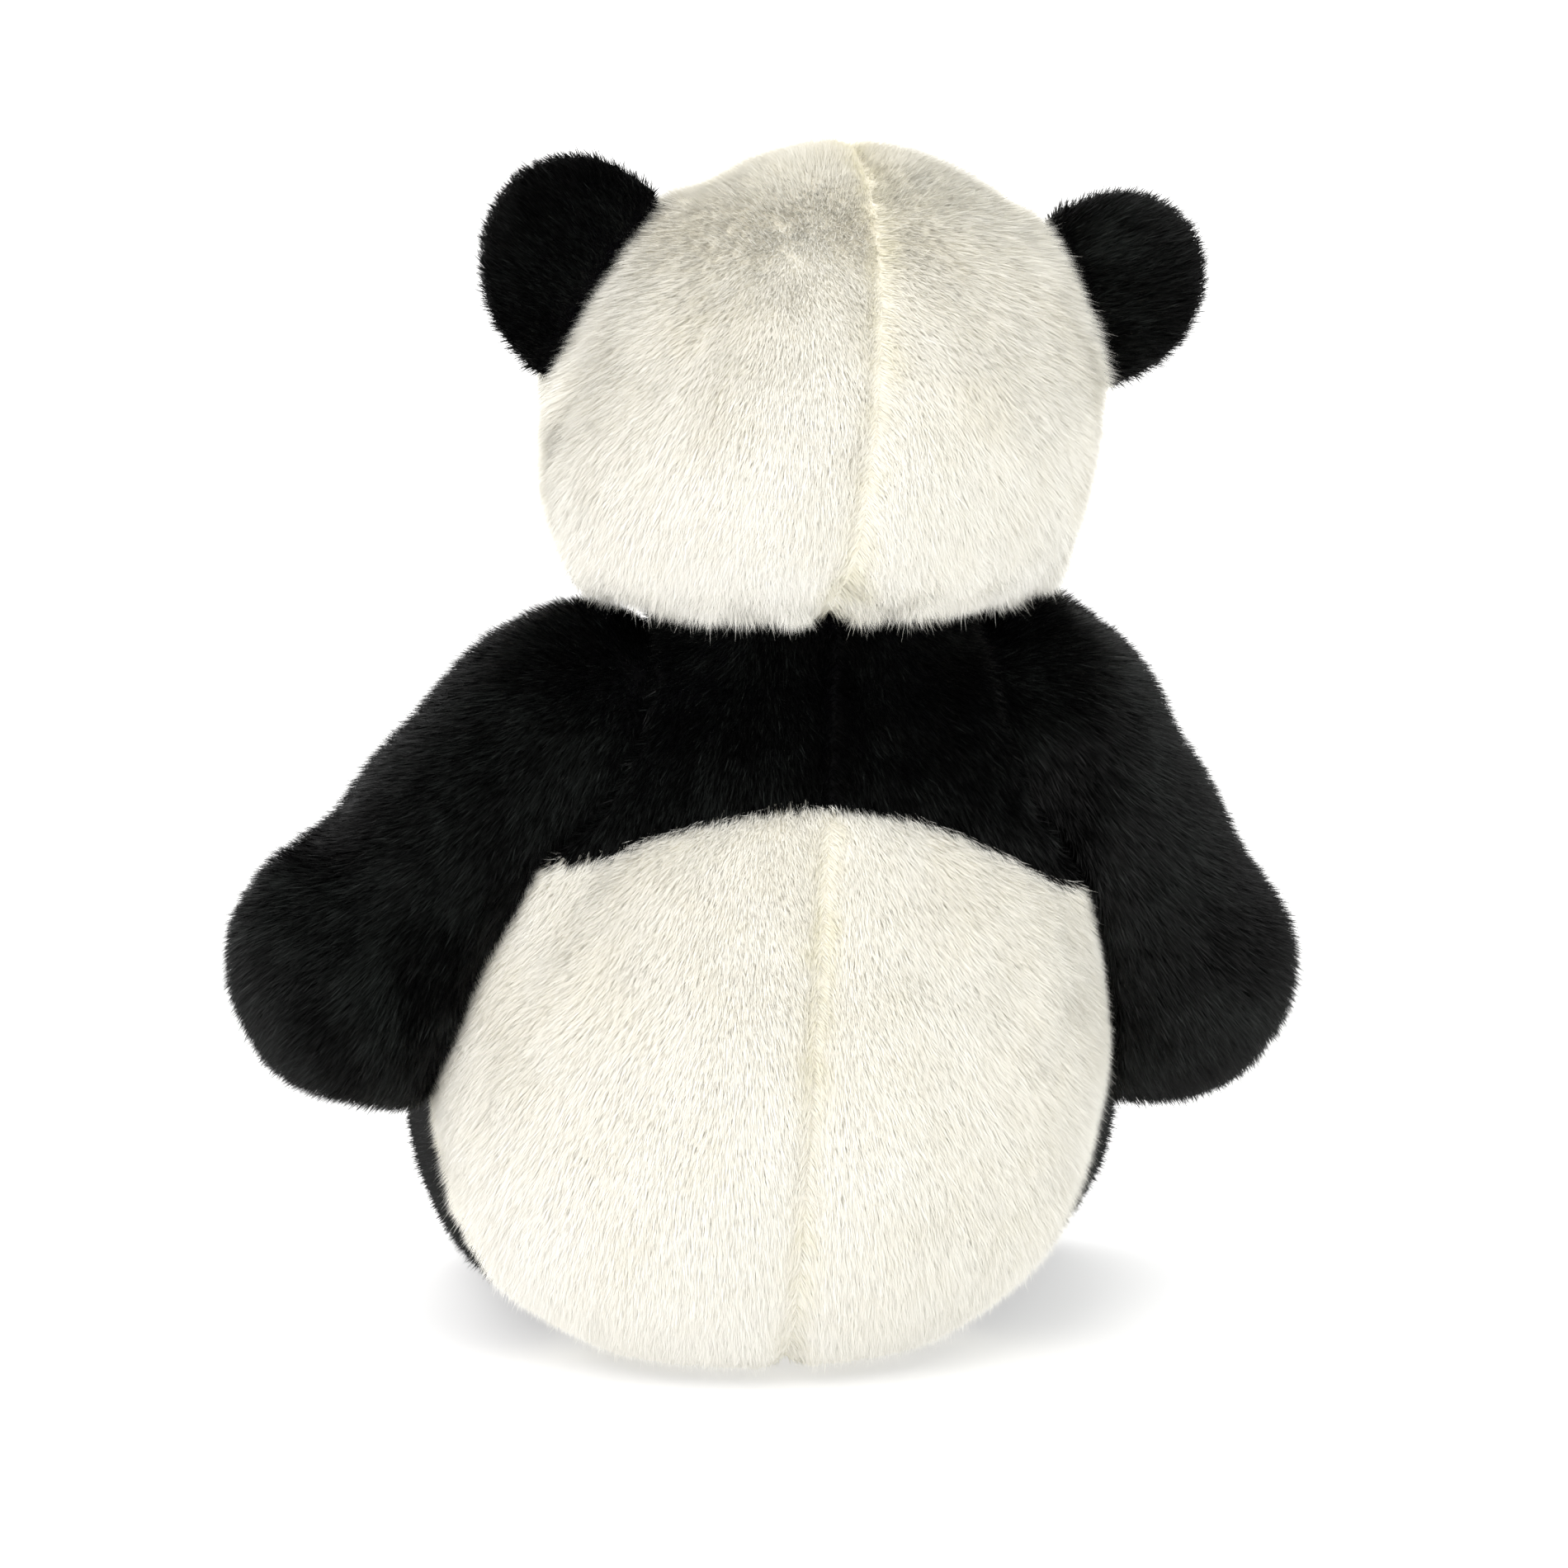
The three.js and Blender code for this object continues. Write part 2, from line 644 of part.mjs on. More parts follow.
// ---- ears ----
Object.keys(SIDES).forEach((name) => {
  const side = SIDES[name];
  const tilt = new THREE.Matrix4().makeRotationY(-side * EAR_TILT[name] * RAD);
  const centre = [
    side * EAR_OUT[name] * Math.cos(EAR_RISE[name] * RAD),
    EAR_Y,
    EAR_CENTRE_Z + EAR_OUT[name] * Math.sin(EAR_RISE[name] * RAD),
  ];
  const ear = ball([EAR_LONG, EAR_THICK, EAR_WIDE[name]], centre, tilt, 18, 8);
  const room = headForm(-SOCKET, 10, 24);
  const root = [
    side * (EAR_OUT[name] - EAR_LONG + 26) * Math.cos(EAR_RISE[name] * RAD),
    EAR_Y,
    EAR_CENTRE_Z + (EAR_OUT[name] - EAR_LONG + 26) * Math.sin(EAR_RISE[name] * RAD),
  ];
  const rise = EAR_RISE[name] * RAD;
  const axis = new THREE.Vector3(-side * Math.sin(rise), 0, Math.cos(rise));
  let keepOut = room;
  [-EAR_BEND, EAR_BEND].forEach((a) => {
    keepOut = keepOut.add(move(room, turn(axis, a, root)));
  });
  const cut = ear.subtract(keepOut);
  const front = block([-300, -300, -300], [300, EAR_Y - GAP / 2, 400]);
  const back = block([-300, EAR_Y + GAP / 2, -300], [300, 300, 400]);
  headPiece(`ear_${name}_front`, largest(cut.intersect(front)), BLACK, 0.95);
  headPiece(`ear_${name}_back`, largest(cut.intersect(back)), BLACK, 0.95);
});

const group = new THREE.Group();
group.name = 'plush_panda';
parts.forEach((m) => group.add(m));
export default group;
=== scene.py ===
import json
import math

import bpy
import numpy as np
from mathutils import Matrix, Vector
from mathutils.bvhtree import BVHTree


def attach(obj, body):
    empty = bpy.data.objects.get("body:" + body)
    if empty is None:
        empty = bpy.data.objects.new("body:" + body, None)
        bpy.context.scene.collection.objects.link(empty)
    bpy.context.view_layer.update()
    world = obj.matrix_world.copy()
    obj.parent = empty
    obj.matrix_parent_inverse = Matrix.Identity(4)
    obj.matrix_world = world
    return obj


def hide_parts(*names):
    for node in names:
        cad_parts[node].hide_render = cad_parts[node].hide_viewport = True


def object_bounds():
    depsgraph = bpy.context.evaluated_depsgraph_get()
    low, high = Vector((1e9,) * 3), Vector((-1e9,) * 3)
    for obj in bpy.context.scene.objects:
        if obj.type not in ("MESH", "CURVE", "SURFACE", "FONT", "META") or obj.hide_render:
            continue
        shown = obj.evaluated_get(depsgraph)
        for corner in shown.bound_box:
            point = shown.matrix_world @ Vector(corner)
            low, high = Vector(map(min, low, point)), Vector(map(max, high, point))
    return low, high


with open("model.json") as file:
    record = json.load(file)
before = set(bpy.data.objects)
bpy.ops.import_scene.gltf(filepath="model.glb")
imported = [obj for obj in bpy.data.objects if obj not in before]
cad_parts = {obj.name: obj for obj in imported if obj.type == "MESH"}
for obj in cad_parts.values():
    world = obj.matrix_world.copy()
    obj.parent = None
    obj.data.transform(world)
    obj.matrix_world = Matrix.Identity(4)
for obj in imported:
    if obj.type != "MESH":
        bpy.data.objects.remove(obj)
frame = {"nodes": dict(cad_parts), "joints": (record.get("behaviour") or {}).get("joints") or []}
CAD_BOX = [list(corner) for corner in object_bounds()]
MM = 0.001
SEED = 20

# ---- what the toy is made of ----
SIDES = ("left", "right")


def both(*names):
    return [name % side for name in names for side in SIDES]


JOINT_AT = {j["name"]: np.array(j["pos_m"], float) for j in frame["joints"]}

# each stuffed form: the body it rides on, its fabric panels, its filling, and the mesh size (mm)
FORMS = {
    "torso": dict(
        body="torso",
        panels=both("yoke_back_%s", "chest_%s", "body_back_%s", "belly_%s") + ["seat_disc"],
        filling=["torso_stuffing"],
        voxel=4.6,
    ),
    "head": dict(
        body="head",
        panels=both("head_back_%s", "face_%s", "eye_patch_%s") + ["muzzle"],
        filling=["head_stuffing"],
        voxel=3.6,
    ),
}
for side in SIDES:
    FORMS[f"arm_{side}"] = dict(
        body=f"arm_{side}",
        panels=[f"arm_{side}_back", f"arm_{side}_front"],
        filling=[f"arm_{side}_stuffing"],
        voxel=4.2,
    )
    FORMS[f"leg_{side}"] = dict(
        body=f"leg_{side}",
        panels=[f"leg_{side}_outer", f"leg_{side}_inner", f"sole_{side}"],
        filling=[f"leg_{side}_stuffing"],
        voxel=4.2,
    )
    FORMS[f"ear_{side}"] = dict(
        body=f"ear_{side}",
        panels=[f"ear_{side}_back", f"ear_{side}_front"],
        filling=[],
        voxel=2.8,
    )

# pile of each panel: length and width of a strand (mm), strands per square mm,
# and how far it lifts from the fabric (sine of the angle)
PILE = {
    "default": dict(length=6.8, width=0.34, density=3.3, lift=0.74),
    "body_back": dict(length=6.8, width=0.30, density=4.6, lift=0.74),
    "head_back": dict(length=6.6, width=0.30, density=4.6, lift=0.74),
    "ear": dict(length=6.2, width=0.34, density=3.2, lift=0.76),
    "eye_patch": dict(length=4.5, width=0.34, density=3.4, lift=0.60),
    "muzzle": dict(length=5.0, width=0.34, density=3.2, lift=0.60),
    "face": dict(length=6.4, width=0.36, density=2.8, lift=0.66),
    "sole": dict(length=2.6, width=0.34, density=4.5, lift=0.60),
    "seat_disc": dict(length=3.0, width=0.40, density=1.6, lift=0.30),
}
# from the tips of the pile to the fabric (mm); thin forms also lose a little width when smoothed
INSET = {"torso": 4.2, "head": 2.6, "arm": 1.2, "leg": 4.2, "ear": 0.8}
SEAM_DEPTH = 4.0  # how much further in the fabric lies at a seam (mm)
EAR_SEAM_DEPTH = 1.2  # the same on an ear
SEAM_HELD = 2.8 * MM  # half width of the strip that the stitches hold
SEWN_TOGETHER = (-15 * MM, -2 * MM)  # depth in the next form at which the fabric starts to stay out
UNDER_EYE = 4 * MM  # how far round an eye the fabric still belongs to the eye patch
HARD_MARGIN = 0.9 * MM  # bare fabric round an eye or the nose
NEAR_SEAM = 6 * MM  # nearer than this to a panel, a strand may take its colour
RAGGED = 0.35 * MM  # how uneven the line between two panels is
LEANING = 5.5 * MM  # half width of the strip along a seam where the pile leans
SEAM_SHADE_STRIP = 7 * MM  # and of the strip where the pile is painted darker, as painted shade in the seam's groove
FLOOR_GAP = 0.8 * MM  # how far the fabric stays above the floor
PILE_FLOOR_GAP = 0.3 * MM  # and its pile
# how far into the next form the pile still grows (mm)
DEEPEST = {"torso": 1.5, "head": 2.0, "arm": 14.0, "leg": 1.5, "ear": 1.0}
BLACK_PANELS = ("yoke_back", "chest", "arm", "leg", "ear", "eye_patch")


def pile_of(panel):
    for key, value in PILE.items():
        if panel.startswith(key):
            return value
    return PILE["default"]


def slot_of(panel):
    if panel.startswith("sole"):
        return "sole_plush"
    if panel.startswith(BLACK_PANELS):
        return "black_plush"
    return "cream_plush"


# ---- colour of the pile, from the tone in the light to the tone in a fold: the lighter tones serve as painted sheen and glints, the darker ones as painted shade ----
PILE_TONES = {
    "cream_plush": [
        (0.985, 0.975, 0.925),
        (0.982, 0.968, 0.912),
        (0.976, 0.960, 0.898),
        (0.970, 0.950, 0.880),
        (0.950, 0.928, 0.835),
        (0.905, 0.878, 0.750),
    ],
    "black_plush": [
        (0.0210, 0.0245, 0.0228),
        (0.0105, 0.0122, 0.0114),
        (0.0050, 0.0058, 0.0054),
        (0.0022, 0.0025, 0.0024),
        (0.0010, 0.0011, 0.0011),
        (0.0005, 0.0005, 0.0005),
    ],
    "sole_plush": [
        (0.100, 0.095, 0.090),
        (0.085, 0.081, 0.077),
        (0.074, 0.070, 0.066),
        (0.064, 0.061, 0.058),
        (0.055, 0.052, 0.049),
        (0.046, 0.044, 0.042),
    ],
}
TONES = 6
# the backing is darker than most of the pile: painted shade at the roots, between the strands
BACKING = {
    "cream_plush": ((0.86, 0.82, 0.71), (0.93, 0.905, 0.82)),
    "black_plush": ((0.0010, 0.0010, 0.0010), (0.0030, 0.0030, 0.0032)),
    "sole_plush": ((0.045, 0.042, 0.040), (0.085, 0.080, 0.075)),
}


def new_material(name):
    m = bpy.data.materials.new(name)
    m.use_nodes = True
    return m, m.node_tree.nodes["Principled BSDF"]


def pile_materials(slot):
    made = []
    black = slot == "black_plush"
    for k, colour in enumerate(PILE_TONES[slot]):
        m, p = new_material(f"pile_{slot}_{k + 1}")
        p.inputs["Base Color"].default_value = (*colour, 1)
        p.inputs["Roughness"].default_value = 0.38 if black else 0.8
        p.inputs["Specular IOR Level"].default_value = 0.2
        p.inputs["Sheen Weight"].default_value = 0.0 if black else 0.2
        p.inputs["Sheen Roughness"].default_value = 0.5
        made.append(m)
    return made


def backing_material(slot):
    """Knitted backing fabric: uneven dye, and a fine knit in the bump."""
    m, p = new_material(f"backing_{slot}")
    nodes, links = m.node_tree.nodes, m.node_tree.links
    where = nodes.new("ShaderNodeTexCoord")
    patch = nodes.new("ShaderNodeTexNoise")
    patch.inputs["Scale"].default_value = 45
    patch.inputs["Detail"].default_value = 6
    ramp = nodes.new("ShaderNodeValToRGB")
    ramp.color_ramp.elements[0].position = 0.3
    ramp.color_ramp.elements[1].position = 0.7
    ramp.color_ramp.elements[0].color = (*BACKING[slot][0], 1)
    ramp.color_ramp.elements[1].color = (*BACKING[slot][1], 1)
    knit = nodes.new("ShaderNodeTexNoise")
    knit.inputs["Scale"].default_value = 900
    bump = nodes.new("ShaderNodeBump")
    bump.inputs["Strength"].default_value = 0.5
    bump.inputs["Distance"].default_value = 0.0006
    links.new(where.outputs["Object"], patch.inputs["Vector"])
    links.new(where.outputs["Object"], knit.inputs["Vector"])
    links.new(patch.outputs["Fac"], ramp.inputs["Fac"])
    links.new(ramp.outputs["Color"], p.inputs["Base Color"])
    links.new(knit.outputs["Fac"], bump.inputs["Height"])
    links.new(bump.outputs["Normal"], p.inputs["Normal"])
    p.inputs["Roughness"].default_value = 0.9
    p.inputs["Specular IOR Level"].default_value = 0.1
    return m


# ---- small numeric helpers ----
def coords(mesh, key="co"):
    out = np.zeros(len(mesh.vertices) * 3, np.float32)
    mesh.vertices.foreach_get(key, out)
    return out.reshape(-1, 3).astype(float)


def unit(v):
    return v / np.maximum(np.linalg.norm(v, axis=-1, keepdims=True), 1e-12)


def dot(a, b):
    return (a * b).sum(-1, keepdims=True)


def smoothstep(low, high, x):
    t = np.clip((x - low) / (high - low), 0, 1)
    return t * t * (3 - 2 * t)


NOISE_MARGIN = 0.05


def value_noise(points, cell, seed, channels=3):
    """Smooth random values from -1 to 1, in bumps about cell metres across."""
    low = np.array(CAD_BOX[0]) - NOISE_MARGIN
    size = np.array(CAD_BOX[1]) + NOISE_MARGIN - low
    dims = np.ceil(size / cell).astype(int) + 3
    grid = np.random.default_rng(seed).uniform(-1, 1, (*dims, channels)).astype(np.float32)
    q = (points - low) / cell
    i = np.clip(np.floor(q).astype(int), 0, dims - 2)
    f = np.clip(q - i, 0, 1)
    f = (f * f * (3 - 2 * f)).astype(np.float32)
    out = np.zeros((len(points), channels), np.float32)
    for dx in (0, 1):
        for dy in (0, 1):
            for dz in (0, 1):
                w = (
                    (f[:, 0] if dx else 1 - f[:, 0])
                    * (f[:, 1] if dy else 1 - f[:, 1])
                    * (f[:, 2] if dz else 1 - f[:, 2])
                )
                out += w[:, None] * grid[i[:, 0] + dx, i[:, 1] + dy, i[:, 2] + dz]
    return out


# patterns of unevenness: size of the bumps (mm) and seed
NOISE = {
    "comb_broad": (34, 5),
    "comb_middle": (13, 6),
    "comb_fine": (5.5, 7),
    "lift": (9, 8),
    "tone_broad": (26, 9),
    "tone_fine": (7, 10),
    "fold_line": (40, 11),
    "fold_patch": (36, 12),
    "dents": (24, 13),
    "neck_tufts": (8, 14),
    "black_broad": (30, 15),
    "black_fine": (8, 16),
}


def vectors(points, pattern):
    cell, seed = NOISE[pattern]
    return value_noise(points, cell * MM, seed)


def uneven(points, pattern):
    cell, seed = NOISE[pattern]
    return value_noise(points, cell * MM, seed, 1)[:, 0]


def mesh_from(name, verts, faces_flat, corners):
    """A mesh with the same number of corners in every face."""
    me = bpy.data.meshes.new(name)
    me.vertices.add(len(verts))
    me.vertices.foreach_set("co", np.ascontiguousarray(verts, np.float32).ravel())
    me.loops.add(len(faces_flat))
    me.loops.foreach_set("vertex_index", np.ascontiguousarray(faces_flat, np.int32))
    me.polygons.add(len(faces_flat) // corners)
    starts = np.arange(len(faces_flat) // corners, dtype=np.int32) * corners
    me.polygons.foreach_set("loop_start", starts)
    me.update()
    return me


def linked(name, mesh):
    o = bpy.data.objects.new(name, mesh)
    bpy.context.scene.collection.objects.link(o)
    return o


def evaluated(o, name):
    """The object's mesh with its modifiers applied, as a new mesh."""
    bpy.context.view_layer.update()
    deps = bpy.context.evaluated_depsgraph_get()
    me = bpy.data.meshes.new_from_object(o.evaluated_get(deps))
    me.name = name
    return me


def drop(o):
    """Removes an object, and its mesh with it."""
    me = o.data
    bpy.data.objects.remove(o)
    if me.users == 0:
        bpy.data.meshes.remove(me)


def tree_of(verts, faces):
    return BVHTree.FromPolygons([tuple(v) for v in verts], faces)


def node_tree(name):
    me = frame["nodes"][name].data
    return tree_of(coords(me), [tuple(p.vertices) for p in me.polygons])


# ---- the fabric of each form ----
def united(nodes, voxel, name):
    """One closed quad mesh around the named CAD nodes."""
    verts, faces, base = [], [], 0
    for n in nodes:
        me = frame["nodes"][n].data
        co = coords(me)
        verts.append(co)
        faces += [tuple(base + i for i in p.vertices) for p in me.polygons]
        base += len(co)
    me = bpy.data.meshes.new(name + "_parts")
    me.from_pydata([tuple(v) for v in np.concatenate(verts)], [], faces)
    o = linked(name + "_parts", me)
    r = o.modifiers.new("one_skin", "REMESH")
    r.mode = "VOXEL"
    r.voxel_size = voxel * MM
    r.adaptivity = 0
    out = evaluated(o, name)
    drop(o)
    return largest_island(out, name)


def largest_island(me, name):
    """The largest connected part of a mesh, in place of the mesh."""
    n = len(me.vertices)
    edges = np.zeros(len(me.edges) * 2, np.int32)
    me.edges.foreach_get("vertices", edges)
    a, b = edges.reshape(-1, 2).T
    label = np.arange(n)
    while True:
        low = np.minimum(label[a], label[b])
        new = label.copy()
        np.minimum.at(new, a, low)
        np.minimum.at(new, b, low)
        new = new[new]
        if (new == label).all():
            break
        label = new
    co = coords(me)
    best, most = None, -1
    for k in np.unique(label):
        size = np.ptp(co[label == k], axis=0).sum()
        if size > most:
            best, most = k, size
    keep = label == best
    index = np.cumsum(keep) - 1
    faces = [
        tuple(int(index[i]) for i in p.vertices)
        for p in me.polygons
        if keep[p.vertices[0]]
    ]
    out = bpy.data.meshes.new(name)
    out.from_pydata([tuple(v) for v in co[keep]], [], faces)
    bpy.data.meshes.remove(me)
    return out


def neighbours(me):
    """The two ends of every edge."""
    edges = np.zeros(len(me.edges) * 2, np.int32)
    me.edges.foreach_get("vertices", edges)
    return edges.reshape(-1, 2).T


def relaxed(co, edges, rounds, share=0.5):
    """The points, each drawn towards the middle of its neighbours."""
    a, b = edges
    n = len(co)
    count = (np.bincount(a, minlength=n) + np.bincount(b, minlength=n))[:, None]
    for _ in range(rounds):
        total = np.stack(
            [
                np.bincount(a, co[b, k], n) + np.bincount(b, co[a, k], n)
                for k in range(3)
            ],
            1,
        )
        co = co + share * (total / count - co)
    return co


def set_coords(me, co):
    me.vertices.foreach_set("co", np.ascontiguousarray(co, np.float32).ravel())
    me.update()


CLOTH_FRAMES = 20
CLOTH = dict(
    quality=5,
    mass=0.3,
    tension_stiffness=5,
    compression_stiffness=5,
    shear_stiffness=4,
    bending_stiffness=0.1,
    use_pressure=True,
    uniform_pressure_force=3000,
    vertex_group_mass="seams",
)


def puffed(me, pinned, name):
    """The fabric under the pressure of its filling, held at its seams."""
    o = linked(name + "_cloth", me.copy())
    group = o.vertex_groups.new(name="seams")
    group.add([int(i) for i in np.nonzero(pinned)[0]], 1.0, "REPLACE")
    cloth = o.modifiers.new("cloth", "CLOTH")
    for key, value in CLOTH.items():
        setattr(cloth.settings, key, value)
    cloth.settings.effector_weights.gravity = 0
    cloth.point_cache.frame_start = 1
    cloth.point_cache.frame_end = CLOTH_FRAMES
    for k in range(1, CLOTH_FRAMES + 1):
        bpy.context.scene.frame_set(k)
    out = evaluated(o, name + "_puffed")
    co = coords(out)
    bpy.data.meshes.remove(out)
    drop(o)
    bpy.context.scene.frame_set(1)
    return co


class Form:
    """One stuffed form: its fabric, its panels and its distances to them and to its neighbours."""


def build_form(name):
    spec = FORMS[name]
    f = Form()
    f.name = name
    f.spec = spec
    f.panels = list(spec["panels"])
    f.mesh = united(spec["panels"] + spec["filling"], spec["voxel"], name)
    f.edges = neighbours(f.mesh)
    f.home = relaxed(coords(f.mesh), f.edges, 3)
    set_coords(f.mesh, f.home)
    f.out = coords(f.mesh, "normal")
    f.tree = tree_of(f.home, [tuple(p.vertices) for p in f.mesh.polygons])
    trees = [node_tree(p) for p in f.panels]
    f.away = np.array(
        [[t.find_nearest(Vector(v))[3] for t in trees] for v in f.home], float
    )
    return f


def depth_in(form, points):
    """How far each point lies inside the form, negative outside."""
    out = np.empty(len(points))
    for i, p in enumerate(points):
        where, normal, _, distance = form.tree.find_nearest(Vector(p))
        inside = (Vector(p) - where).dot(normal) < 0
        out[i] = distance if inside else -distance
    return out


CROWN_ABOVE = 0.01  # the pile of the head is combed away from a point this far above it (m)
LEG_DROOP = 0.35


def flow_of(f):
    """The way the pile is combed."""
    if f.name == "head":
        crown = np.array([f.home[:, 0].mean(), f.home[:, 1].mean(), f.home[:, 2].max() + CROWN_ABOVE])
        return unit(f.co - crown)
    if f.name == "torso":
        return np.tile([0.0, 0.0, -1.0], (len(f.co), 1))
    along = reach(f)
    if f.name.startswith("leg"):
        along = unit(along - np.array([0, 0, LEG_DROOP]))
    return np.tile(along, (len(f.co), 1))


def reach(f):
    """Direction of a limb or an ear, from its joint outward."""
    joint = {"arm": "shoulder_%s", "leg": "hip_%s", "ear": "ear_%s_flap"}
    kind, side = f.name.split("_")
    return unit(f.home.mean(0) - JOINT_AT[joint[kind] % side])


# where an arm bends above the paw: distance from the shoulder, depth and width of the dent (mm)
ELBOW = {"arm_left": (74, 6.0, 20), "arm_right": (78, 3.5, 18)}
PAW = {"arm_left": 4.5, "arm_right": 0.5}  # how far the back of each paw swells (mm)
PAW_FAR, PAW_WIDE, ARM_HALF = 100 * MM, 24 * MM, 46 * MM
FOLD_WIDTH = 6.0 * MM
FOLDS = {"arm_left": 1.2, "arm_right": 2.6, "torso": 0.6, "head": 0.4}  # depth of soft folds (mm)


def creases(f):
    """How deep the fabric is pressed in by the bend of an elbow and by soft folds."""
    depth = np.zeros(len(f.home))
    if f.name in ELBOW:
        far, deep, wide = (x * MM for x in ELBOW[f.name])
        side = 1 if f.name.endswith("left") else -1
        along = reach(f)
        outward = np.array([side, 0.15, 0.0])
        outward = unit(outward - (outward @ along) * along)
        rest = f.home - JOINT_AT["shoulder_" + f.name.split("_")[1]]
        spot = rest - along * far - outward * ARM_HALF
        depth += deep * np.exp(-((np.linalg.norm(spot, axis=1) / wide) ** 2))
        paw = rest - along * PAW_FAR - outward * ARM_HALF
        depth -= PAW[f.name] * MM * np.exp(-((np.linalg.norm(paw, axis=1) / PAW_WIDE) ** 2))
        # folds run across the arm, slightly aslant
        q = rest @ along + 0.5 * (rest @ outward)
        wave = np.sin(q / FOLD_WIDTH + 2.4 * uneven(f.home, "fold_line"))
        wave = smoothstep(-0.2, 1.0, wave)
        patch = smoothstep(-0.3, 0.4, uneven(f.home, "fold_patch"))
        depth += FOLDS[f.name] * MM * wave * patch
    elif f.name in FOLDS:
        depth += FOLDS[f.name] * MM * uneven(f.home, "dents")
    return depth


forms = {name: build_form(name) for name in FORMS}
NEAR = {
    "torso": ["head", "arm_left", "arm_right", "leg_left", "leg_right"],
    "head": ["torso", "ear_left", "ear_right", "arm_left", "arm_right"],
    "arm_left": ["torso", "leg_left", "head"],
    "arm_right": ["torso", "leg_right", "head"],
    "leg_left": ["torso"],
    "leg_right": ["torso"],
    "ear_left": ["head"],
    "ear_right": ["head"],
}
NO_HARD_PART = 1.0  # distance (m) where a form has none
HARD = {"head": both("eye_%s") + ["nose"]}

for f in forms.values():
    f.deep = np.max([depth_in(forms[o], f.home) for o in NEAR[f.name]], axis=0)
    if f.name in HARD:
        hard_trees = [node_tree(n) for n in HARD[f.name]]
        gaps = np.array([[t.find_nearest(Vector(v))[3] for t in hard_trees] for v in f.home])
        f.hard = gaps.min(1)
        for k, side in enumerate(SIDES):
            around = gaps[:, k] < UNDER_EYE
            patch = f.panels.index(f"eye_patch_{side}")
            f.away[around] += NEAR_SEAM
            f.away[around, patch] = 0
    else:
        f.hard = np.full(len(f.home), NO_HARD_PART)
    ranked = np.sort(f.away, axis=1)
    f.seam = ranked[:, 1] - ranked[:, 0]

    small = f.name.startswith("ear")
    inset = INSET[f.name.split("_")[0]] * MM
    groove = (EAR_SEAM_DEPTH if small else SEAM_DEPTH) * MM
    # where two forms are sewn together the fabric stays out, so that they meet
    f.touch = smoothstep(*SEWN_TOGETHER, f.deep)
    free = 1 - f.touch[:, None]
    start = f.home - f.out * (inset + groove) * free
    f.crease = creases(f)
    start = relaxed(start - f.out * f.crease[:, None], f.edges, 2)
    set_coords(f.mesh, start)
    pinned = (f.seam < SEAM_HELD) | (f.touch > 0.5)
    moved = puffed(f.mesh, pinned, f.name) - start
    size = np.linalg.norm(moved, axis=1, keepdims=True)
    moved = moved * (groove * np.tanh(size / groove) / np.maximum(size, 1e-9))
    set_coords(f.mesh, relaxed(start + moved, f.edges, 1))


def finished(f):
    """Subdivides the fabric once and carries the panel distances along."""
    fields = {f"panel_{k}": f.away[:, k] for k in range(len(f.panels))}
    fields["deep"] = f.deep
    fields["hard"] = f.hard
    fields["crease"] = f.crease
    for key, values in fields.items():
        at = f.mesh.attributes.new(key, "FLOAT", "POINT")
        at.data.foreach_set("value", values.astype(np.float32))
    o = linked(f.name + "_coarse", f.mesh)
    sub = o.modifiers.new("rounder", "SUBSURF")
    sub.levels = sub.render_levels = 1
    me = evaluated(o, f.name + "_padding")
    drop(o)

    def field(key):
        out = np.zeros(len(me.vertices), np.float32)
        me.attributes[key].data.foreach_get("value", out)
        return out.astype(float)

    f.away = np.stack([field(f"panel_{k}") for k in range(len(f.panels))], 1)
    f.deep = field("deep")
    f.hard = field("hard")
    f.crease = field("crease")
    for key in fields:
        me.attributes.remove(me.attributes[key])
    f.mesh = me
    f.co = coords(me)
    f.co[:, 2] = np.maximum(f.co[:, 2], FLOOR_GAP)
    f.flow = flow_of(f)
    set_coords(me, f.co)
    f.out = coords(me, "normal")
    me.calc_loop_triangles()
    tris = np.zeros(len(me.loop_triangles) * 3, np.int32)
    me.loop_triangles.foreach_get("vertices", tris)
    f.tris = tris.reshape(-1, 3)


for f in forms.values():
    finished(f)

BACKINGS = {slot: backing_material(slot) for slot in BACKING}
PILES = {slot: pile_materials(slot) for slot in PILE_TONES}


def add_padding(f):
    """The closed skin of a form, in the backing fabric of each panel."""
    o = linked(f"{f.name}_padding", f.mesh)
    slots = sorted({slot_of(p) for p in f.panels})
    for s in slots:
        f.mesh.materials.append(BACKINGS[s])
    nearest = f.away.argmin(1)
    slot_index = np.array([slots.index(slot_of(p)) for p in f.panels])
    corner = np.array([p.vertices[0] for p in f.mesh.polygons])
    f.mesh.polygons.foreach_set("material_index", slot_index[nearest[corner]].astype(np.int32))
    f.mesh.polygons.foreach_set("use_smooth", np.ones(len(corner), bool))
    f.mesh.update()
    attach(o, f.spec["body"])
    if f.spec["filling"]:
        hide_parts(*f.spec["filling"])


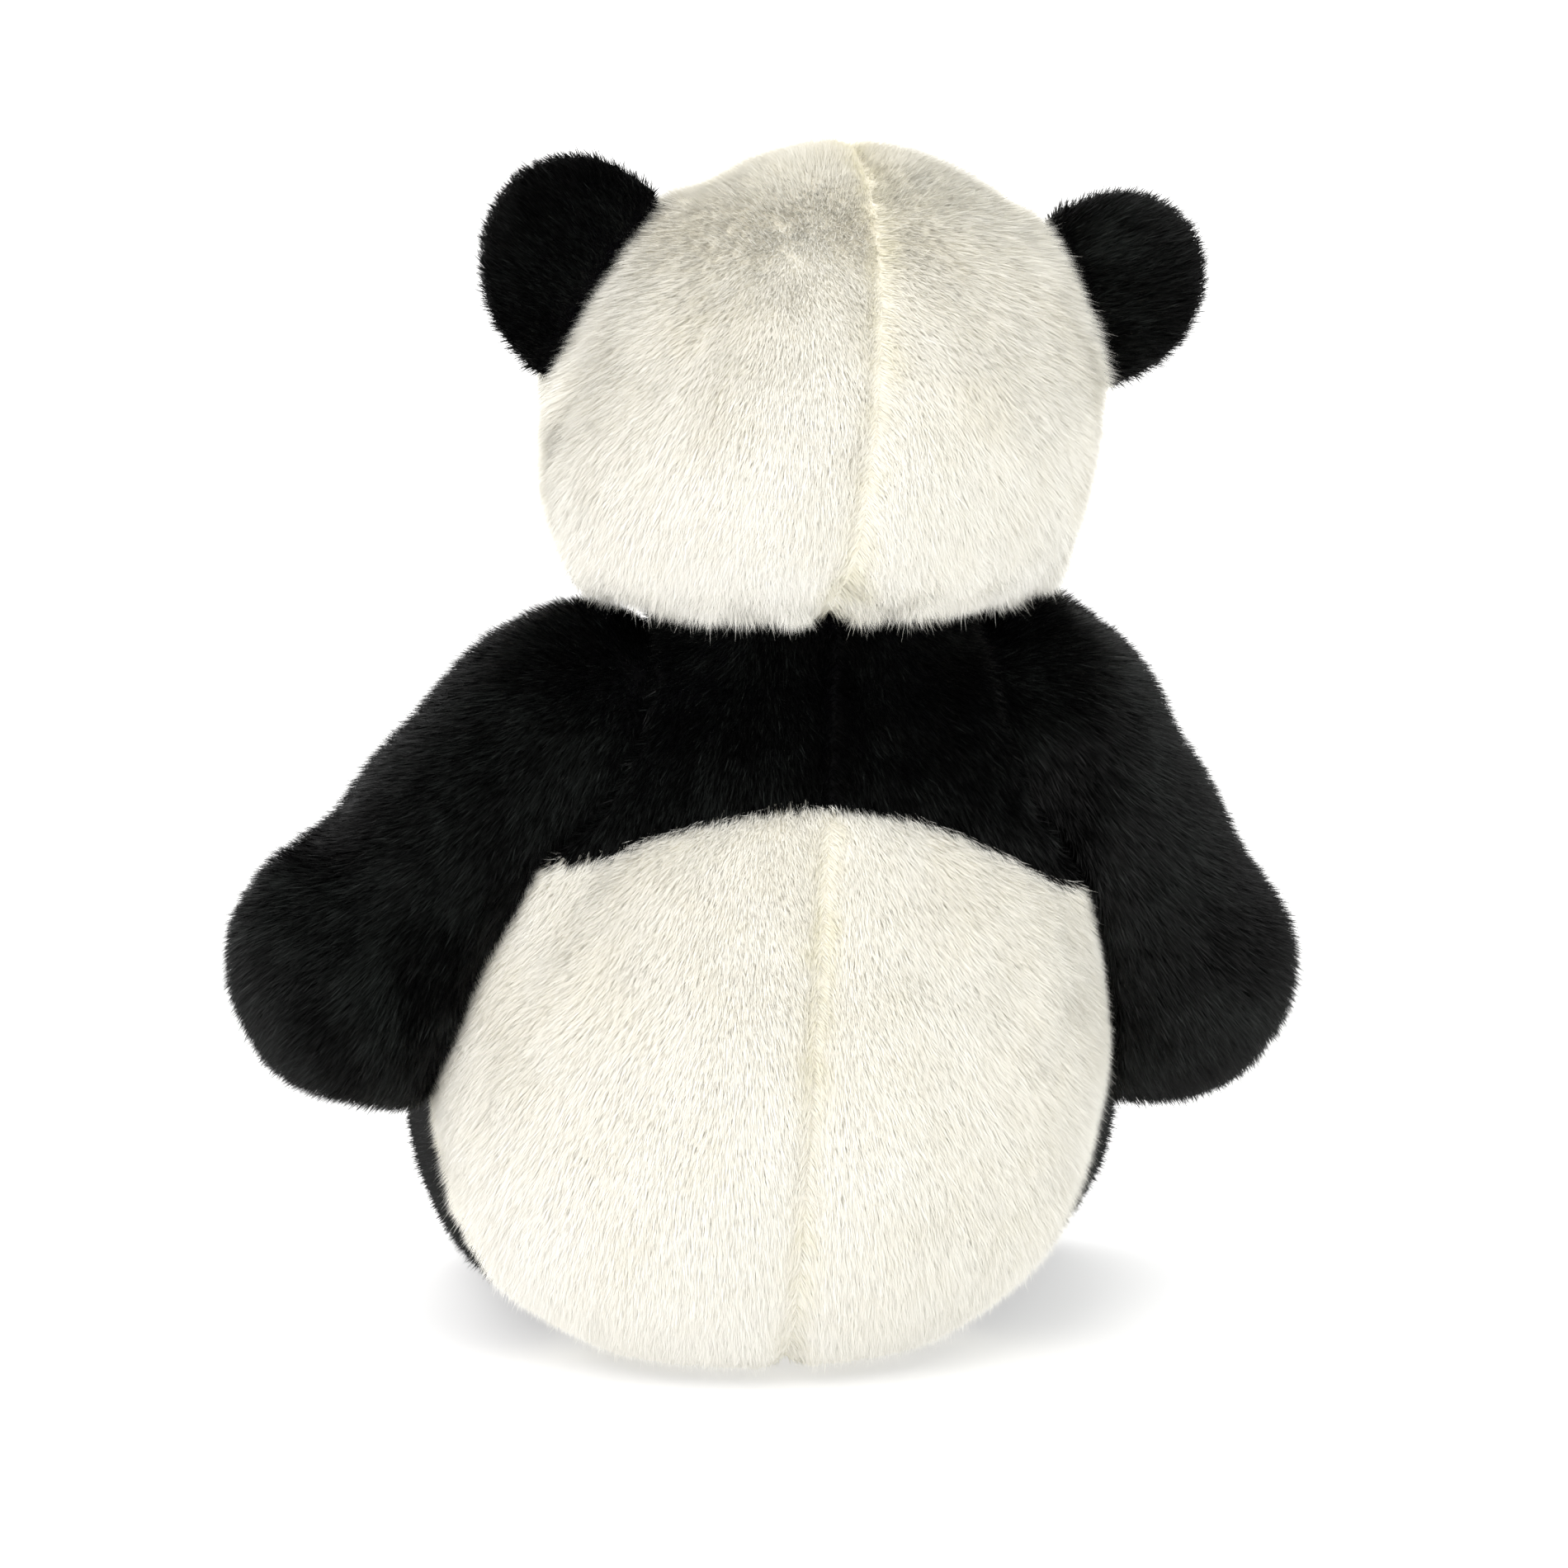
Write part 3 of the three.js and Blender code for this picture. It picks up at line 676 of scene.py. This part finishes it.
def sow(f, seed):
    """Strands over the form: returns their roots and everything that shapes them."""
    rng = np.random.default_rng(seed)
    a, b, c = (f.co[f.tris[:, k]] for k in range(3))
    area = np.linalg.norm(np.cross(b - a, c - a), axis=1) / 2 / MM**2
    nearest = f.away[f.tris].mean(1).argmin(1)
    density = np.array([pile_of(p)["density"] for p in f.panels])[nearest]
    deepest = DEEPEST[f.name.split("_")[0]] * MM
    hidden = (f.deep[f.tris] > deepest + 1.5 * MM).all(1)
    expected = np.where(hidden, 0, area * density)
    count = int(expected.sum())
    tri = rng.choice(len(area), count, p=expected / expected.sum())
    r1, r2 = np.sqrt(rng.random(count)), rng.random(count)
    w = np.stack([1 - r1, r1 * (1 - r2), r1 * r2], 1)
    v = f.tris[tri]

    def mix(values):
        return sum(w[:, k, None] * values[v[:, k]] for k in range(3))

    root = mix(f.co)
    flow = unit(mix(f.flow))
    up = unit(mix(f.out))
    away = mix(f.away)
    deep = mix(f.deep[:, None])[:, 0]
    hard = mix(f.hard[:, None])[:, 0]
    crease = mix(f.crease[:, None])[:, 0]
    away = away + rng.normal(0, RAGGED, away.shape) * (away < NEAR_SEAM)
    order = np.argsort(away, axis=1)
    own, other = order[:, 0], order[:, 1]
    rows = np.arange(count)
    seam = away[rows, other] - away[rows, own]

    # slope of the distance to the neighbouring panel, which points away from the seam
    normal = unit(np.cross(b - a, c - a))
    twice = (area * MM**2 * 2)[:, None]
    grads = [
        np.cross(normal, c - b) / twice,
        np.cross(normal, a - c) / twice,
        np.cross(normal, b - a) / twice,
    ]
    into = np.zeros((count, 3))
    for k in range(3):
        value = f.away[v[:, k], other] - f.away[v[:, k], own]
        into += value[:, None] * grads[k][tri]
    keep = (deep < deepest) & (hard > HARD_MARGIN)
    names = ("root", "up", "own", "other", "seam", "into", "hard", "deep", "flow", "crease")
    values = (root, up, own, other, seam, unit(into), hard, deep, flow, crease)
    return {n: x[keep] for n, x in zip(names, values)}, rng


# how far the pile leans across a seam between two colours, and away from a seam in one colour
OVER_EDGE = {"cream_plush": 0.45, "black_plush": 0.05, "sole_plush": 0.05}
PARTED = -0.7
LIFT_RANGE = (0.18, 0.95)
STRAY = 1.35  # how much longer a stray strand is


def blades(f, seed):
    """One narrow triangle for each strand, with its tone and the panel it grows on."""
    s, rng = sow(f, seed)
    n = len(s["root"])
    root, up = s["root"], s["up"]
    pile = [pile_of(p) for p in f.panels]

    def per_panel(key):
        return np.array([x[key] for x in pile])[s["own"]]

    slots = np.array([slot_of(p) for p in f.panels])
    own_slot, other_slot = slots[s["own"]], slots[s["other"]]
    edge = own_slot != other_slot
    near = np.exp(-((s["seam"] / LEANING) ** 2))[:, None]

    # direction: combed along the form, and parted at the seams
    broad = vectors(root, "comb_broad")
    middle = vectors(root, "comb_middle")
    fine = vectors(root, "comb_fine")
    heading = s["flow"] + 0.15 * broad + 0.12 * middle + 0.08 * fine
    over = np.array([OVER_EDGE[x] for x in slots])[s["own"]]
    across = np.where(edge, over, PARTED)[:, None]
    heading = heading - across * near * s["into"]
    heading = heading - dot(heading, up) * up
    t = unit(heading + rng.normal(0, 0.14, (n, 3)))
    t = unit(t - dot(t, up) * up)

    lift = per_panel("lift") + 0.07 * uneven(root, "lift")
    lift = lift + rng.normal(0, 0.08, n)
    lift = np.clip(lift, *LIFT_RANGE)[:, None]
    d = up * lift + t * np.sqrt(1 - lift**2)

    # length: a few stray long strands, and short ones where two forms meet
    length = per_panel("length") * rng.uniform(0.78, 1.12, n) * MM
    length = length * np.where(edge, 1.0, 1 - 0.30 * near[:, 0])
    stray = rng.random(n) < np.where(own_slot == "cream_plush", 0.05, 0.12)
    length = np.where(stray, length * STRAY, length)
    if f.name == "head":
        # the pile hangs over the neck in tufts
        hang = smoothstep(-22 * MM, -12 * MM, s["deep"]) * (up[:, 2] < 0.3)
        length = length * (1 + hang * (0.35 + 0.45 * uneven(root, "neck_tufts")))
    crowded = 0.15 if f.name == "head" else 0.5
    length = length * (1 - crowded * smoothstep(-8 * MM, 0, s["deep"]))
    length = np.minimum(length, 1.2 * MM + 0.8 * np.maximum(s["hard"] - HARD_MARGIN, 0))
    length = length[:, None]
    width = (per_panel("width") * rng.uniform(0.7, 1.3, n) * MM)[:, None]
    width = width * np.where(stray & (own_slot == "black_plush"), 1.3, 1.0)[:, None]

    side = unit(np.cross(d, up))
    face = unit(np.cross(side, d))
    face = np.where(dot(face, up) < 0, -face, face)
    roll = rng.normal(0, np.where(own_slot == "cream_plush", 0.10, 0.4))[:, None]
    side = side * np.cos(roll) + face * np.sin(roll)
    one = root + side * width / 2
    two = root - side * width / 2
    tip = root + d * length
    facing = dot(np.cross(two - one, tip - one), up) < 0
    first = np.where(facing, two, one)
    second = np.where(facing, one, two)
    verts = np.stack([first, second, tip], 1)
    verts[..., 2] = np.maximum(verts[..., 2], PILE_FLOOR_GAP)

    # tone: cloudy at random, with painted shade in the seams and folds, a painted sheen on the outer
    # black pile, and painted glints
    tone = 0.38 + 0.16 * uneven(root, "tone_broad")
    tone = tone + 0.14 * uneven(root, "tone_fine") + rng.normal(0, 0.09, n)
    # painted shade: pile along a seam in one colour takes darker tones, as the shade of the seam's
    # groove
    seam_shade = np.exp(-(((s["seam"] + 2.5 * MM * fine[:, 0]) / SEAM_SHADE_STRIP) ** 2))
    tone = tone + np.where(edge, 0, 0.40 * seam_shade)
    black = own_slot == "black_plush"
    # painted sheen: black pile is darker in the middle and lighter towards the outer sides, as if
    # side light caught it there
    outer = smoothstep(80 * MM, 128 * MM, np.abs(root[:, 0]))
    tone = tone + np.where(black, 0.26 - 0.13 * outer, 0)
    # painted shade: black pile is darker in the folds, as the shade in each crease
    tone = tone + np.where(black, 0.24 * np.maximum(s["crease"], 0) / MM, 0)
    tone = tone + np.where(black, rng.normal(0, 0.16, n), 0)
    cloud = 0.20 * uneven(root, "black_broad") + 0.10 * uneven(root, "black_fine")
    tone = tone + np.where(black, cloud, 0)
    # painted glints: a few black strands take a much lighter tone, as highlights on single hairs
    tone = np.where(black & (rng.random(n) < 0.09), tone - 0.4, tone)
    tone = np.clip((tone * TONES).astype(int), 0, TONES - 1)
    return verts, tone, s["own"]


def add_pile(f, seed):
    """The strands of each panel, as one mesh."""
    verts, tone, own = blades(f, seed)
    for k, panel in enumerate(f.panels):
        mine = own == k
        n = int(mine.sum())
        if n == 0:
            continue
        me = mesh_from(f"pile_{panel}", verts[mine].reshape(-1, 3), np.arange(n * 3), 3)
        for m in PILES[slot_of(panel)]:
            me.materials.append(m)
        me.polygons.foreach_set("material_index", tone[mine].astype(np.int32))
        me.update()
        o = linked(f"pile_{panel}", me)
        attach(o, f.spec["body"])
        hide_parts(panel)


for k, f in enumerate(forms.values()):
    add_padding(f)
    add_pile(f, SEED + k)


# ---- hard parts ----
def gloss_material(name, dark, light, rough, scale, bump_mm):
    """Moulded plastic or thread: uneven colour and a slight bump."""
    m, p = new_material(name)
    nodes, links = m.node_tree.nodes, m.node_tree.links
    where = nodes.new("ShaderNodeTexCoord")
    cloud = nodes.new("ShaderNodeTexNoise")
    cloud.inputs["Scale"].default_value = scale
    cloud.inputs["Detail"].default_value = 4
    ramp = nodes.new("ShaderNodeValToRGB")
    ramp.color_ramp.elements[0].color = (*dark, 1)
    ramp.color_ramp.elements[1].color = (*light, 1)
    bump = nodes.new("ShaderNodeBump")
    bump.inputs["Strength"].default_value = 0.3
    bump.inputs["Distance"].default_value = bump_mm * MM
    links.new(where.outputs["Object"], cloud.inputs["Vector"])
    links.new(cloud.outputs["Fac"], ramp.inputs["Fac"])
    links.new(ramp.outputs["Color"], p.inputs["Base Color"])
    links.new(cloud.outputs["Fac"], bump.inputs["Height"])
    links.new(bump.outputs["Normal"], p.inputs["Normal"])
    p.inputs["Roughness"].default_value = rough
    p.inputs["Specular IOR Level"].default_value = 0.15
    return m


def smooth_copy(node, voxel, material, rounds=6):
    """A rounder copy of a small part of the head."""
    me = united([node], voxel, node + "_smooth")
    edges = neighbours(me)
    set_coords(me, relaxed(coords(me), edges, rounds))
    o = linked(node + "_smooth", me)
    sub = o.modifiers.new("rounder", "SUBSURF")
    sub.levels = sub.render_levels = 1
    fine = evaluated(o, node + "_smooth")
    drop(o)
    fine.polygons.foreach_set("use_smooth", np.ones(len(fine.polygons), bool))
    fine.materials.clear()
    fine.materials.append(material)
    o = linked(node + "_smooth", fine)
    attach(o, "head")
    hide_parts(node)


EYE = gloss_material(
    "eye_plastic", (0.003, 0.003, 0.003), (0.012, 0.008, 0.006), rough=0.08, scale=60, bump_mm=0.02
)
NOSE = gloss_material(
    "nose_plastic", (0.006, 0.006, 0.006), (0.018, 0.016, 0.015), rough=0.32, scale=700, bump_mm=0.15
)
WASHER = gloss_material(
    "washer_plastic", (0.66, 0.66, 0.64), (0.78, 0.78, 0.76), rough=0.45, scale=300, bump_mm=0.05
)
THREAD = gloss_material(
    "stitch_thread", (0.010, 0.008, 0.007), (0.030, 0.022, 0.018), rough=0.6, scale=1500, bump_mm=0.1
)
for side in SIDES:
    smooth_copy(f"eye_{side}", 0.8, EYE)
smooth_copy("nose", 0.9, NOSE)
smooth_copy("mouth_stitch", 0.5, THREAD, 2)
for node in both("eye_washer_%s") + ["nose_washer"]:
    washer = frame["nodes"][node]
    washer.data.materials.clear()
    washer.data.materials.append(WASHER)

# ---- floor, light and camera ----
scene = bpy.context.scene
floor_mesh = bpy.data.meshes.new("floor")
FLOOR_RADIUS, FLOOR_SIDES = 9.0, 64
ring = [
    (FLOOR_RADIUS * math.cos(a), FLOOR_RADIUS * math.sin(a), 0)
    for a in np.linspace(0, 2 * math.pi, FLOOR_SIDES + 1)[:-1]
]
floor_mesh.from_pydata(ring, [], [tuple(range(FLOOR_SIDES))])
floor = linked("floor", floor_mesh)
m, p = new_material("pale_floor")
p.inputs["Base Color"].default_value = (0.74, 0.74, 0.74, 1)
p.inputs["Emission Color"].default_value = (1, 1, 1, 1)
p.inputs["Emission Strength"].default_value = 0.4
p.inputs["Roughness"].default_value = 1.0
p.inputs["Specular IOR Level"].default_value = 0.0
floor_mesh.materials.append(m)

world = bpy.data.worlds.new("studio")
scene.world = world
world.use_nodes = True
world.node_tree.nodes["Background"].inputs["Color"].default_value = (1, 1, 1, 1)
world.node_tree.nodes["Background"].inputs["Strength"].default_value = 0.95


def backward(azimuth, elevation):
    """Towards a lamp or the camera: azimuth 0 is in front of the toy, 90 on its left, 180 behind."""
    a, e = math.radians(azimuth), math.radians(elevation)
    return Vector((math.sin(a) * math.cos(e), -math.cos(a) * math.cos(e), math.sin(e)))


def sun(name, azimuth, elevation, strength, angle, colour):
    """A soft lamp."""
    data = bpy.data.lights.new(name, "SUN")
    data.energy = strength
    data.angle = math.radians(angle)
    data.color = colour
    o = bpy.data.objects.new(name, data)
    scene.collection.objects.link(o)
    o.rotation_euler = backward(azimuth, elevation).to_track_quat("Z", "Y").to_euler()


sun("key", azimuth=136, elevation=44, strength=1.75, angle=55, colour=(1.0, 0.970, 0.950))
sun("fill", azimuth=228, elevation=42, strength=0.66, angle=55, colour=(0.99, 1.0, 0.93))
sun("front", azimuth=10, elevation=45, strength=0.7, angle=50, colour=(1.0, 1.0, 1.0))

AZIMUTH, ELEVATION, DISTANCE = 171.0, 9.0, 2.5  # degrees, degrees, metres
FRAME_WIDTH = 0.5067  # metres across the picture, at the toy
SENSOR = 36  # mm
LOOK_AT = Vector((-0.0103, -0.0275, 0.1814))
cam = bpy.data.cameras.new("camera")
cam.sensor_width = SENSOR
cam.lens = SENSOR * DISTANCE / FRAME_WIDTH
camera = bpy.data.objects.new("camera", cam)
scene.collection.objects.link(camera)
back = backward(AZIMUTH, ELEVATION)
camera.location = LOOK_AT + back * DISTANCE
camera.rotation_euler = back.to_track_quat("Z", "Y").to_euler()
scene.camera = camera
scene.view_settings.view_transform = "Standard"
